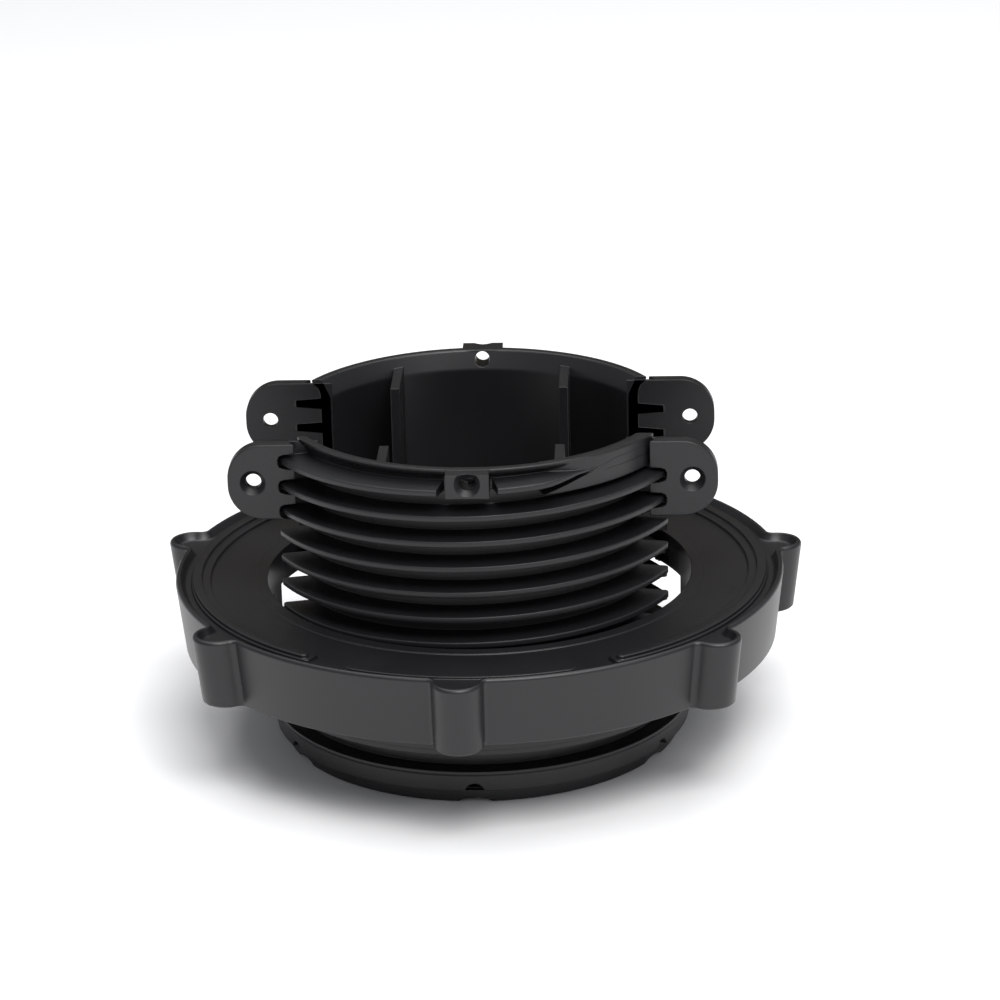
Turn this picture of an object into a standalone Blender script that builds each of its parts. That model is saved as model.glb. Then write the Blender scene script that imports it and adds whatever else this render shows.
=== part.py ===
"""Adjustable decking pedestal: a foot, a levelling ring that turns on it, and a threaded joist cradle.

Frame: +Z up, origin on the thread axis at the underside of the foot, +X along the joist, which lies
in the slot between the two cheeks of the cradle. Sizes are in metres, written with MM.
"""

import math

import bmesh
import bpy
from mathutils import Vector

MM = 0.001

# Screw thread shared by the cradle (outside) and the ring (inside)
THREAD_CREST_RADIUS = 55.0 * MM
THREAD_ROOT_RADIUS = 48.7 * MM
THREAD_PITCH = 6.7 * MM
THREAD_CREST_WIDTH = 1.2 * MM
THREAD_ROOT_WIDTH = 2.4 * MM
THREAD_CLEARANCE = 0.6 * MM
THREAD_STEPS = 36
THREAD_PHASE_HEIGHT = 77.2 * MM
THREAD_END_ANGLE = -48.0
THREAD_FADE_ANGLE = 20.0

# Joist slot and cradle
SLOT_WIDTH = 46.0 * MM
SEAT_HEIGHT = 46.0 * MM
SEAT_THICKNESS = 3.6 * MM
SEAT_HALF_LENGTH = 43.0 * MM
CRADLE_TOP = 89.0 * MM
CRADLE_BOTTOM = 24.5 * MM
CRADLE_WALL = 3.0 * MM
RIM_LIP_HEIGHT = 1.6 * MM
RIM_LIP_REACH = 1.3 * MM
POST_OFFSET = 22.3 * MM
POST_THICKNESS = 2.4 * MM
POST_DROP = 3.4 * MM
CROSS_WALL_THICKNESS = 2.8 * MM

# Screw ears and the centre screw boss of each cheek
EAR_REACH = 62.2 * MM
EAR_TOP = 87.3 * MM
EAR_HEIGHT = 20.0 * MM
EAR_THICKNESS = 3.8 * MM
EAR_CORNER_RADIUS = 9.0 * MM
EAR_POCKET_GAP = 1.0 * MM
EAR_START = 39.0 * MM
SCREW_OFFSET = 55.7 * MM
SCREW_HEIGHT = 77.2 * MM
SCREW_HOLE_RADIUS = 2.0 * MM
COUNTERSINK_RADIUS = 3.3 * MM
COUNTERSINK_DEPTH = 1.6 * MM
BOSS_HALF_WIDTH = 5.4 * MM
BOSS_BOTTOM = 82.2 * MM
BOSS_REACH = 54.0 * MM
BOSS_SCREW_HEIGHT = 86.0 * MM
BOSS_NOTCH = 0.6 * MM
BOSS_NOTCH_FLARE = 2.4 * MM

# Levelling ring
RING_TOP = 44.8 * MM
RING_BOTTOM = 26.5 * MM
RING_RADIUS = 79.6 * MM
RING_WALL = 2.6 * MM
RING_DRAFT = 1.9 * MM
RING_EDGE = 1.0 * MM
RING_TURN_AT_REST = -1.7
WEB_DEPTH = 2.0 * MM
WEB_THICKNESS = 3.0 * MM
HUB_WALL = 3.2 * MM
HUB_BEAD_HEIGHT = 0.3 * MM
LOBE_COUNT = 7
LOBE_RADIUS = 6.3 * MM
LOBE_REACH = 6.9 * MM
LOBE_FILLET = 1.6 * MM
WALL_STEPS = 6
PILLAR_ANGLE = 7.0
PILLAR_TURN = 3.5
WINDOW_FLOOR = 1.6 * MM
WINDOW_TOP = 34.0 * MM
GUSSET_THICKNESS = 2.0 * MM
GUSSET_DEPTH = 8.0 * MM
RING_THREAD_BOTTOM = 29.6 * MM
RING_THREAD_TURNS = 1.45
RING_THREAD_HALF_GAP = 27.0 * MM

# Raised ribs and blank pad on top of the ring
RIB_INNER_RADIUS = 70.8 * MM
RIB_STEP_RADIUS = 73.4 * MM
RIB_OUTER_RADIUS = 76.4 * MM
RIB_STEP_HEIGHT = 0.8 * MM
RIB_HEIGHT = 1.6 * MM
RIB_HALF_GAP = 30.5
RIB_CORNER_RADIUS = 1.2 * MM
RIB_END_STEP = 0.8
RIB_STEPS = 20
PAD_INNER_RADIUS = 62.0 * MM
PAD_OUTER_RADIUS = 74.6 * MM
PAD_HEIGHT = 0.4 * MM
PAD_HALF_ANGLE = 23.0
PAD_CORNER_RADIUS = 2.4 * MM
PAD_STEPS = 8

# Foot
FOOT_RADIUS = 54.8 * MM
FOOT_HEIGHT = 9.5 * MM
FOOT_BEAD_HEIGHT = 1.3 * MM
FOOT_BEAD_REACH = 0.35 * MM
LIP_RADIUS = 52.2 * MM
LIP_HEIGHT = 3.2 * MM
LIP_GROOVE_HEIGHT = 0.7 * MM
LIP_GROOVE_DEPTH = 1.0 * MM
FLOOR_THICKNESS = 2.6 * MM
NECK_RADIUS = 50.6 * MM
NECK_WALL = 2.6 * MM
FLANGE_RADIUS = 57.6 * MM
FLANGE_TOP = 16.6 * MM
FLANGE_THICKNESS = 1.7 * MM
SPIGOT_WALL = 2.4 * MM
SPIGOT_HEIGHT = 2.4 * MM
BEARING_GAP = 0.3 * MM
WEEP_COUNT = 6
WEEP_RADIUS = 2.5 * MM
SCALLOP_HALF_WIDTH = 4.4 * MM
SCALLOP_HEIGHT = 1.2 * MM
FOOT_EDGE = 0.4 * MM
FLOOR_HOLE_RADIUS = 5.0 * MM
FLOOR_HOLE_CIRCLE = 30.5 * MM
FLOOR_RIB_THICKNESS = 2.0 * MM
FLOOR_RIB_HEIGHT = 6.0 * MM
CENTRE_BOSS_RADIUS = 9.0 * MM

TURNED_STEPS = 54
OVERLAP = 0.4 * MM
REACH_PAST = 2.0 * MM

WEB_TOP = RING_TOP - WEB_DEPTH
WEB_UNDERSIDE = WEB_TOP - WEB_THICKNESS
HUB_INNER_RADIUS = THREAD_CREST_RADIUS + THREAD_CLEARANCE
HUB_OUTER_RADIUS = HUB_INNER_RADIUS + HUB_WALL
HUB_BOTTOM = FLANGE_TOP + BEARING_GAP
SPIGOT_RADIUS = HUB_INNER_RADIUS - THREAD_CLEARANCE
SPIGOT_TOP = FLANGE_TOP + SPIGOT_HEIGHT
THREAD_REST_DROP = (THREAD_CREST_WIDTH + THREAD_ROOT_WIDTH) / 2 + BEARING_GAP
FOOT_RIB_TOP = FLOOR_THICKNESS + FLOOR_RIB_HEIGHT
CHEEK_FACE = SLOT_WIDTH / 2


def clear_scene():
    """Remove every object of the file that the script runs in."""
    for item in list(bpy.data.objects):
        bpy.data.objects.remove(item, do_unlink=True)


def plastic(name, colour, roughness):
    """A moulded plastic with a Principled BSDF."""
    finish = bpy.data.materials.new(name)
    finish.use_nodes = True
    shader = finish.node_tree.nodes["Principled BSDF"]
    shader.inputs["Base Color"].default_value = (*colour, 1.0)
    shader.inputs["Roughness"].default_value = roughness
    shader.inputs["Metallic"].default_value = 0.0
    return finish


def object_from(name, bm):
    """Close a bmesh into a linked object whose faces point outwards."""
    bmesh.ops.recalc_face_normals(bm, faces=bm.faces)
    mesh = bpy.data.meshes.new(name)
    bm.to_mesh(mesh)
    bm.free()
    item = bpy.data.objects.new(name, mesh)
    bpy.context.scene.collection.objects.link(item)
    return item


def combine(item, tool, operation):
    """Apply one exact Boolean of a tool to an item and delete the tool."""
    modifier = item.modifiers.new(operation.title(), "BOOLEAN")
    modifier.operation = operation
    modifier.solver = "EXACT"
    modifier.object = tool
    depsgraph = bpy.context.evaluated_depsgraph_get()
    result = bpy.data.meshes.new_from_object(item.evaluated_get(depsgraph))
    item.modifiers.remove(modifier)
    item.data = result
    bpy.data.objects.remove(tool, do_unlink=True)


def add(item, tool):
    combine(item, tool, "UNION")


def cut(item, tool):
    combine(item, tool, "DIFFERENCE")


def keep(item, tool):
    combine(item, tool, "INTERSECT")


def polar(radius, degrees, z=0.0):
    angle = math.radians(degrees)
    return Vector((radius * math.cos(angle), radius * math.sin(angle), z))


def turned(name, profile, steps=TURNED_STEPS):
    """Revolve a closed outline of (radius, height) points about +Z."""
    bm = bmesh.new()
    columns = []
    for radius, z in profile:
        if radius == 0.0:
            columns.append([bm.verts.new((0.0, 0.0, z))] * steps)
        else:
            columns.append([bm.verts.new(polar(radius, 360.0 * k / steps, z)) for k in range(steps)])
    for here, after in zip(columns, columns[1:] + columns[:1]):
        for k in range(steps):
            corners = [here[k], here[(k + 1) % steps], after[(k + 1) % steps], after[k]]
            distinct = list(dict.fromkeys(corners))
            if len(distinct) > 2:
                bm.faces.new(distinct)
    return object_from(name, bm)


def prism(name, outline, low, high):
    """Extrude a closed outline of (x, y) points from one height to another."""
    bm = bmesh.new()
    bottom = [bm.verts.new((x, y, low)) for x, y in outline]
    base = bm.faces.new(bottom)
    raised = bmesh.ops.extrude_face_region(bm, geom=[base])["geom"]
    for vert in (item for item in raised if isinstance(item, bmesh.types.BMVert)):
        vert.co.z = high
    return object_from(name, bm)


def box(name, low, high):
    """A block between two opposite corners."""
    outline = [(low[0], low[1]), (high[0], low[1]), (high[0], high[1]), (low[0], high[1])]
    return prism(name, outline, low[2], high[2])


def radial_bar(name, inner, outer, thickness, low, high, degrees):
    """A straight rib that runs outwards from one radius to another."""
    along = polar(1.0, degrees)
    across = polar(thickness / 2, degrees + 90.0)
    corners = [along * inner - across, along * outer - across, along * outer + across, along * inner + across]
    return prism(name, [(p.x, p.y) for p in corners], low, high)


def bent_corner(degrees, radius, inwards, towards, corner):
    """Points of one corner of a bent block, from its end face to its curved face."""
    if not corner:
        return [(degrees, radius)]
    reach = math.degrees(corner / radius)
    bend = []
    for turn in (0.0, math.pi / 4, math.pi / 2):
        angle = degrees + inwards * reach * (1 - math.cos(turn))
        bend.append((angle, radius + towards * corner * (1 - math.sin(turn))))
    return bend


def arc_block(name, inner, outer, start, end, low, high, steps, corner=0.0):
    """A block bent round the axis between two angles, with rounded corners if a radius is given."""
    span = [start + (end - start) * k / steps for k in range(1, steps)]
    points = bent_corner(start, outer, 1, -1, corner)
    points += [(degrees, outer) for degrees in span]
    points += bent_corner(end, outer, -1, -1, corner)[::-1]
    points += bent_corner(end, inner, -1, 1, corner)
    points += [(degrees, inner) for degrees in reversed(span)]
    points += bent_corner(start, inner, 1, 1, corner)[::-1]
    flat = [polar(radius, degrees) for degrees, radius in points]
    return prism(name, [(p.x, p.y) for p in flat], low, high)


def rod(name, radius_start, radius_end, start, direction, length, steps=24):
    """A straight round rod or cone from a point along a direction."""
    bm = bmesh.new()
    bmesh.ops.create_cone(
        bm, cap_ends=True, segments=steps, radius1=radius_start, radius2=radius_end, depth=length)
    aim = Vector(direction).normalized()
    turn = Vector((0.0, 0.0, 1.0)).rotation_difference(aim).to_matrix().to_4x4()
    bmesh.ops.transform(bm, matrix=turn, verts=bm.verts)
    bmesh.ops.translate(bm, vec=Vector(start) + aim * (length / 2), verts=bm.verts)
    return object_from(name, bm)


def helix_height(degrees):
    """Height of the cradle's thread centre line at an angle, measured from the front at -90 degrees."""
    return THREAD_PHASE_HEIGHT + THREAD_PITCH * (degrees + 90.0) / 360.0


def helical_fin(name, start, end, foot, tip, lift=0.0, run_out=0.0):
    """Sweep a four-sided section along the helix.

    The foot and the tip are a radius and a half width. Over the last run_out degrees the tip sinks
    to the foot.
    """
    count = max(2, round((end - start) / 360.0 * THREAD_STEPS))
    sunk = foot[0] + OVERLAP / 2
    bm = bmesh.new()
    rings = []
    for k in range(count + 1):
        degrees = start + (end - start) * k / count
        share = min(1.0, (end - degrees) / run_out) if run_out else 1.0
        reach = sunk + (tip[0] - sunk) * share
        middle = helix_height(degrees) + lift
        corners = [(foot[0], -foot[1]), (reach, -tip[1]), (reach, tip[1]), (foot[0], foot[1])]
        rings.append([bm.verts.new(polar(radius, degrees, middle + up)) for radius, up in corners])
    for here, after in zip(rings, rings[1:]):
        for k in range(4):
            bm.faces.new((here[k], here[(k + 1) % 4], after[(k + 1) % 4], after[k]))
    bm.faces.new(rings[0])
    bm.faces.new(rings[-1])
    return object_from(name, bm)


def angle_at_height(z):
    """Angle at which the cradle's thread centre line passes a height."""
    return (z - THREAD_PHASE_HEIGHT) / THREAD_PITCH * 360.0 - 90.0


def cheek_wall():
    """The round wall of both cheeks with its rim lip, before the slot is cut."""
    inner = THREAD_ROOT_RADIUS - CRADLE_WALL
    lip = THREAD_ROOT_RADIUS + RIM_LIP_REACH
    return turned("wall", [
        (inner, CRADLE_BOTTOM),
        (THREAD_ROOT_RADIUS, CRADLE_BOTTOM),
        (THREAD_ROOT_RADIUS, CRADLE_TOP - RIM_LIP_HEIGHT - RIM_LIP_REACH),
        (lip, CRADLE_TOP - RIM_LIP_HEIGHT),
        (lip, CRADLE_TOP),
        (inner, CRADLE_TOP),
    ])


def ear(side, front):
    """One D-shaped screw ear, flat against the joist, with its countersunk hole."""
    end = EAR_REACH - EAR_CORNER_RADIUS
    bottom = EAR_TOP - EAR_HEIGHT
    outline = [(EAR_START, bottom)]
    for centre, first in ((bottom + EAR_CORNER_RADIUS, -90.0), (EAR_TOP - EAR_CORNER_RADIUS, 0.0)):
        for k in range(7):
            turn = math.radians(first + 15.0 * k)
            outline.append((end + EAR_CORNER_RADIUS * math.cos(turn), centre + EAR_CORNER_RADIUS * math.sin(turn)))
    outline.append((EAR_START, EAR_TOP))
    inner_face = front * (CHEEK_FACE - OVERLAP)
    outer_face = front * (CHEEK_FACE + EAR_THICKNESS)
    bm = bmesh.new()
    near = [bm.verts.new((side * x, inner_face, z)) for x, z in outline]
    far = [bm.verts.new((side * x, outer_face, z)) for x, z in outline]
    bm.faces.new(near)
    bm.faces.new(far)
    for k in range(len(outline)):
        after = (k + 1) % len(outline)
        bm.faces.new((near[k], near[after], far[after], far[k]))
    plate = object_from("ear", bm)
    screw_hole(plate, (side * SCREW_OFFSET, outer_face, SCREW_HEIGHT), front)
    return plate


def screw_hole(item, centre, front):
    """Drill a through hole with a countersink along Y, from the outer face towards the joist."""
    x, y, z = centre
    inwards = (0.0, -front, 0.0)
    start = (x, y + front * REACH_PAST, z)
    cut(item, rod("drill", SCREW_HOLE_RADIUS, SCREW_HOLE_RADIUS, start, inwards, BOSS_REACH - CHEEK_FACE, 16))
    flare = (COUNTERSINK_RADIUS - SCREW_HOLE_RADIUS) / COUNTERSINK_DEPTH
    mouth = COUNTERSINK_RADIUS + flare * OVERLAP
    tip = SCREW_HOLE_RADIUS - flare * OVERLAP
    begin = (x, y + front * OVERLAP, z)
    cut(item, rod("sink", mouth, tip, begin, inwards, COUNTERSINK_DEPTH + 2 * OVERLAP, 18))


def post_depth():
    """How far from the middle plane the posts reach into the cheek walls."""
    return math.sqrt(THREAD_ROOT_RADIUS ** 2 - POST_OFFSET ** 2) - CRADLE_WALL / 2


def build_cradle(finish):
    """Two threaded cheeks joined by the seat, with posts, ears and screw bosses."""
    cradle = cheek_wall()
    start = angle_at_height(CRADLE_BOTTOM - THREAD_ROOT_WIDTH)
    end = 360.0 + THREAD_END_ANGLE
    foot = (THREAD_ROOT_RADIUS - OVERLAP, THREAD_ROOT_WIDTH / 2)
    tip = (THREAD_CREST_RADIUS, THREAD_CREST_WIDTH / 2)
    add(cradle, helical_fin("fin", start, end, foot, tip, run_out=THREAD_FADE_ANGLE))
    below = THREAD_CREST_RADIUS * 2
    cut(cradle, box("trim", (-below, -below, 0.0), (below, below, CRADLE_BOTTOM)))
    for front in (-1, 1):
        reach = front * BOSS_REACH
        inner = front * (THREAD_ROOT_RADIUS - CRADLE_WALL + OVERLAP)
        root = front * (THREAD_ROOT_RADIUS + OVERLAP / 2)
        beyond = front * (THREAD_CREST_RADIUS + REACH_PAST)
        near = BOSS_HALF_WIDTH + BOSS_NOTCH
        far = near + BOSS_NOTCH_FLARE
        notch = [(-near, root), (near, root), (far, beyond), (-far, beyond)]
        cut(cradle, prism("notch", notch, BOSS_BOTTOM - BOSS_NOTCH, CRADLE_TOP - RIM_LIP_HEIGHT - RIM_LIP_REACH))
        low = (-BOSS_HALF_WIDTH, min(reach, inner), BOSS_BOTTOM)
        high = (BOSS_HALF_WIDTH, max(reach, inner), CRADLE_TOP - OVERLAP)
        add(cradle, box("boss", low, high))
    pocket_foot = (foot[0], foot[1] + EAR_POCKET_GAP)
    pocket_tip = (tip[0] + EAR_POCKET_GAP, tip[1] + EAR_POCKET_GAP)
    for front in (-1, 1):
        for x in (-POST_OFFSET, POST_OFFSET):
            near, far = sorted((front * (CHEEK_FACE - OVERLAP), front * post_depth()))
            low = (x - POST_THICKNESS / 2, near, CRADLE_BOTTOM + MM)
            high = (x + POST_THICKNESS / 2, far, CRADLE_TOP - POST_DROP)
            add(cradle, box("post", low, high))
        for side in (-1, 1):
            plate = ear(side, front)
            first = angle_at_height(EAR_TOP - EAR_HEIGHT) - 270.0
            last = angle_at_height(EAR_TOP) + 270.0
            cut(plate, helical_fin("pocket", first, last, pocket_foot, pocket_tip))
            add(cradle, plate)
    slot = box("slot", (-below, -CHEEK_FACE, CRADLE_BOTTOM - MM), (below, CHEEK_FACE, CRADLE_TOP + MM))
    cut(cradle, slot)
    span = SEAT_HALF_LENGTH
    seat_radius = THREAD_ROOT_RADIUS - CRADLE_WALL / 2
    disc = [polar(seat_radius, 360.0 * (k + 0.5) / TURNED_STEPS) for k in range(TURNED_STEPS)]
    seat = prism("seat", [(p.x, p.y) for p in disc], SEAT_HEIGHT - SEAT_THICKNESS, SEAT_HEIGHT)
    keep(seat, box("span", (-span, -below, 0.0), (span, below, CRADLE_TOP)))
    add(cradle, seat)
    for x in (-POST_OFFSET, POST_OFFSET):
        half = CROSS_WALL_THICKNESS / 2
        low = (x - half, -post_depth(), CRADLE_BOTTOM + OVERLAP)
        high = (x + half, post_depth(), SEAT_HEIGHT - OVERLAP)
        add(cradle, box("cross_wall", low, high))
    for front in (-1, 1):
        screw_hole(cradle, (0.0, front * BOSS_REACH, BOSS_SCREW_HEIGHT), front)
    return finished(cradle, "joist_cradle", finish)


def lobed_outline(inset):
    """Points of the ring's outline with its half-round grips, moved inwards by an inset."""
    hub = RING_RADIUS + LOBE_REACH - LOBE_RADIUS
    fillet = LOBE_FILLET
    turn = math.acos(((RING_RADIUS + fillet) ** 2 + hub ** 2 - (LOBE_RADIUS + fillet) ** 2)
                     / (2 * (RING_RADIUS + fillet) * hub))
    points = []
    period = 360.0 / LOBE_COUNT
    half = math.degrees(turn)
    for lobe in range(LOBE_COUNT):
        middle = -90.0 + period * lobe
        grip = polar(hub, middle)
        for sign in (-1, 1):
            corner = polar(RING_RADIUS + fillet, middle + sign * half)
            to_wall = math.degrees(math.atan2(-corner.y, -corner.x))
            to_grip = math.degrees(math.atan2(grip.y - corner.y, grip.x - corner.x))
            swing = (to_grip - to_wall + 180.0) % 360.0 - 180.0
            bend = [corner + polar(fillet + inset, to_wall + swing * t) for t in (0.0, 0.5, 1.0)]
            reach = math.degrees(math.atan2(corner.y - grip.y, corner.x - grip.x))
            away = (reach - middle + 180.0) % 360.0 - 180.0
            arc = [grip + polar(LOBE_RADIUS - inset, middle + away * t) for t in (0.75, 0.5, 0.25)]
            side = bend + arc
            if sign < 0:
                points += side + [grip + polar(LOBE_RADIUS - inset, middle)]
            else:
                points += side[::-1]
        flat = period - 2 * half
        for k in range(1, WALL_STEPS):
            points.append(polar(RING_RADIUS - inset, middle + half + flat * k / WALL_STEPS))
    return points


def skirt():
    """The lobed outer wall of the ring, with draft and a rounded top edge."""
    section = [
        (0.0, RING_BOTTOM, RING_DRAFT),
        (0.0, RING_TOP - RING_EDGE, 0.0),
        (RING_EDGE * 0.3, RING_TOP - RING_EDGE * 0.3, 0.0),
        (RING_EDGE, RING_TOP, 0.0),
        (RING_WALL, RING_TOP, 0.0),
        (RING_WALL, RING_TOP - WEB_DEPTH, 0.0),
        (RING_WALL, RING_BOTTOM, RING_DRAFT),
    ]
    bm = bmesh.new()
    rings = []
    for inset, z, draft in section:
        size = 1.0 - draft / RING_RADIUS
        rings.append([bm.verts.new((p.x * size, p.y * size, z)) for p in lobed_outline(inset)])
    count = len(rings[0])
    for here, after in zip(rings, rings[1:] + rings[:1]):
        for k in range(count):
            bm.faces.new((here[k], here[(k + 1) % count], after[(k + 1) % count], after[k]))
    return object_from("skirt", bm)


def build_ring(finish):
    """Lobed skirt, web, windowed hub with an inner thread, gussets, ribs and blank pads."""
    ring = turned("hub", [
        (HUB_INNER_RADIUS, HUB_BOTTOM),
        (HUB_OUTER_RADIUS, HUB_BOTTOM),
        (HUB_OUTER_RADIUS, WEB_TOP + HUB_BEAD_HEIGHT),
        (HUB_INNER_RADIUS, WEB_TOP + HUB_BEAD_HEIGHT),
    ])
    period = 360.0 / LOBE_COUNT
    for k in range(LOBE_COUNT):
        middle = -90.0 + period * (k + 0.5) + PILLAR_TURN
        low = HUB_BOTTOM + WINDOW_FLOOR
        inner = HUB_INNER_RADIUS - REACH_PAST
        outer = HUB_OUTER_RADIUS + REACH_PAST
        first = middle - (period - PILLAR_ANGLE) / 2
        last = middle + (period - PILLAR_ANGLE) / 2
        cut(ring, arc_block("window", inner, outer, first, last, low, WINDOW_TOP, 4))
    outline = [(p.x, p.y) for p in lobed_outline(RING_WALL - OVERLAP)]
    web = prism("web", outline, WEB_UNDERSIDE, WEB_TOP)
    bore = HUB_INNER_RADIUS + HUB_WALL / 2
    cut(web, rod("bore", bore, bore, (0, 0, RING_BOTTOM), (0, 0, 1), RING_TOP, TURNED_STEPS))
    add(ring, web)
    add(ring, skirt())
    for k in range(2 * LOBE_COUNT):
        degrees = -90.0 + period * k / 2
        inner = HUB_OUTER_RADIUS - OVERLAP
        outer = RING_RADIUS - RING_DRAFT + (LOBE_REACH if k % 2 == 0 else 0.0)
        low = WEB_UNDERSIDE - GUSSET_DEPTH
        add(ring, radial_bar("gusset", inner, outer, GUSSET_THICKNESS, low, WEB_TOP - OVERLAP, degrees))
    sweep = 180.0 - 2 * RIB_HALF_GAP
    for middle in (0.0, 180.0):
        first = middle - sweep / 2
        last = middle + sweep / 2
        low = WEB_TOP - OVERLAP
        step = arc_block("rib_step", RIB_INNER_RADIUS, RIB_OUTER_RADIUS, first, last, low,
                         WEB_TOP + RIB_STEP_HEIGHT, RIB_STEPS, RIB_CORNER_RADIUS)
        top = arc_block("rib_top", RIB_STEP_RADIUS, RIB_OUTER_RADIUS - OVERLAP, first + RIB_END_STEP,
                        last - RIB_END_STEP, low, WEB_TOP + RIB_HEIGHT, RIB_STEPS, RIB_CORNER_RADIUS)
        add(ring, step)
        add(ring, top)
    for middle in (-90.0, 90.0):
        pad = arc_block("pad", PAD_INNER_RADIUS, PAD_OUTER_RADIUS, middle - PAD_HALF_ANGLE,
                        middle + PAD_HALF_ANGLE, WEB_TOP - OVERLAP, WEB_TOP + PAD_HEIGHT, PAD_STEPS, PAD_CORNER_RADIUS)
        add(ring, pad)
    first = angle_at_height(RING_THREAD_BOTTOM + THREAD_REST_DROP)
    foot = (HUB_INNER_RADIUS + OVERLAP, THREAD_ROOT_WIDTH / 2)
    tip = (THREAD_ROOT_RADIUS + THREAD_CLEARANCE, THREAD_CREST_WIDTH / 2)
    last = first + 360.0 * RING_THREAD_TURNS
    thread = helical_fin("inner_thread", first, last, foot, tip, lift=-THREAD_REST_DROP)
    below = THREAD_CREST_RADIUS * 2
    cut(thread, box("side_gap", (-below, -RING_THREAD_HALF_GAP, 0.0), (below, RING_THREAD_HALF_GAP, RING_TOP)))
    turn_about_axis(ring, RING_TURN_AT_REST)
    add(ring, thread)
    return finished(ring, "levelling_ring", finish)


def turn_about_axis(item, degrees):
    """Turn an item's mesh about +Z."""
    bm = bmesh.new()
    bm.from_mesh(item.data)
    for vert in bm.verts:
        flat = math.atan2(vert.co.y, vert.co.x) + math.radians(degrees)
        radius = math.hypot(vert.co.x, vert.co.y)
        vert.co = Vector((radius * math.cos(flat), radius * math.sin(flat), vert.co.z))
    bm.to_mesh(item.data)
    bm.free()


def build_base(finish):
    """The foot: closed floor, drained lip and rim, neck, bearing flange and guide spigot."""
    groove_top = LIP_HEIGHT + LIP_GROOVE_HEIGHT
    bead = FOOT_RADIUS + FOOT_BEAD_REACH
    neck_inner = NECK_RADIUS - NECK_WALL
    foot = turned("foot", [
        (0.0, 0.0),
        (LIP_RADIUS - FOOT_EDGE, 0.0),
        (LIP_RADIUS, FOOT_EDGE),
        (LIP_RADIUS, LIP_HEIGHT),
        (LIP_RADIUS - LIP_GROOVE_DEPTH, LIP_HEIGHT),
        (LIP_RADIUS - LIP_GROOVE_DEPTH, groove_top),
        (FOOT_RADIUS, groove_top),
        (FOOT_RADIUS, FOOT_HEIGHT - FOOT_BEAD_HEIGHT),
        (bead, FOOT_HEIGHT - FOOT_BEAD_HEIGHT + FOOT_BEAD_REACH),
        (bead, FOOT_HEIGHT - FOOT_BEAD_REACH),
        (FOOT_RADIUS, FOOT_HEIGHT),
        (NECK_RADIUS, FOOT_HEIGHT),
        (NECK_RADIUS, FLANGE_TOP - FLANGE_THICKNESS),
        (FLANGE_RADIUS, FLANGE_TOP - FLANGE_THICKNESS),
        (FLANGE_RADIUS, FLANGE_TOP),
        (SPIGOT_RADIUS, FLANGE_TOP),
        (SPIGOT_RADIUS, SPIGOT_TOP),
        (SPIGOT_RADIUS - SPIGOT_WALL, SPIGOT_TOP),
        (SPIGOT_RADIUS - SPIGOT_WALL, FLANGE_TOP),
        (neck_inner, FLANGE_TOP - FLANGE_THICKNESS - NECK_WALL),
        (neck_inner, FLOOR_THICKNESS),
        (0.0, FLOOR_THICKNESS),
    ])
    for k in range(WEEP_COUNT):
        degrees = -90.0 + 360.0 * k / WEEP_COUNT
        half_round_weep(foot, degrees, groove_top - LIP_GROOVE_HEIGHT / 2)
        scallop(foot, degrees)
        middle = degrees + 180.0 / WEEP_COUNT
        centre = polar(FLOOR_HOLE_CIRCLE, degrees + 1.0, -FLOOR_THICKNESS / 2)
        cut(foot, rod("drain", FLOOR_HOLE_RADIUS, FLOOR_HOLE_RADIUS, centre, (0, 0, 1), 2 * FLOOR_THICKNESS))
        add(foot, radial_bar("floor_rib", CENTRE_BOSS_RADIUS - REACH_PAST, neck_inner + OVERLAP, FLOOR_RIB_THICKNESS,
                             FLOOR_THICKNESS - OVERLAP, FOOT_RIB_TOP, middle))
    boss_height = FOOT_RIB_TOP + MM
    boss = rod("centre_boss", CENTRE_BOSS_RADIUS, CENTRE_BOSS_RADIUS, (0, 0, FLOOR_THICKNESS - OVERLAP),
               (0, 0, 1), boss_height - FLOOR_THICKNESS + OVERLAP, 32)
    add(foot, boss)
    return finished(foot, "base", finish)


def half_round_weep(item, degrees, floor):
    """A half-round weep hole through the rim wall, its flat side on the groove."""
    steps = 8
    along = polar(1.0, degrees)
    across = polar(1.0, degrees + 90.0)
    bm = bmesh.new()
    outline = [(WEEP_RADIUS * math.cos(math.pi * k / steps), WEEP_RADIUS * math.sin(math.pi * k / steps))
               for k in range(steps + 1)]
    inner = NECK_RADIUS - NECK_WALL - REACH_PAST
    outer = FOOT_RADIUS + REACH_PAST
    sides = []
    for reach in (inner, outer):
        sides.append([bm.verts.new(along * reach + across * x + Vector((0, 0, floor + z))) for x, z in outline])
    near, far = sides
    bm.faces.new(near)
    bm.faces.new(far)
    for k in range(len(outline)):
        after = (k + 1) % len(outline)
        bm.faces.new((near[k], near[after], far[after], far[k]))
    cut(item, object_from("weep", bm))


def scallop(item, degrees):
    """A shallow arched notch in the ground edge of the lip."""
    radius = (SCALLOP_HALF_WIDTH ** 2 + SCALLOP_HEIGHT ** 2) / (2 * SCALLOP_HEIGHT)
    start = polar(NECK_RADIUS - 2 * NECK_WALL, degrees, SCALLOP_HEIGHT - radius)
    cut(item, rod("scallop", radius, radius, start, polar(1.0, degrees), 4 * NECK_WALL, 36))


def finished(item, name, finish):
    """Name a piece, give it its material and smooth its round faces."""
    item.name = name
    item.data.name = name
    item.data.materials.clear()
    item.data.materials.append(finish)
    item.data.shade_smooth()
    item.data.set_sharp_from_angle(angle=math.radians(25.0))
    return item


def main():
    clear_scene()
    black = plastic("black_polypropylene", (0.018, 0.018, 0.020), 0.42)
    build_base(black)
    build_ring(black)
    build_cradle(black)


main()
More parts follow.
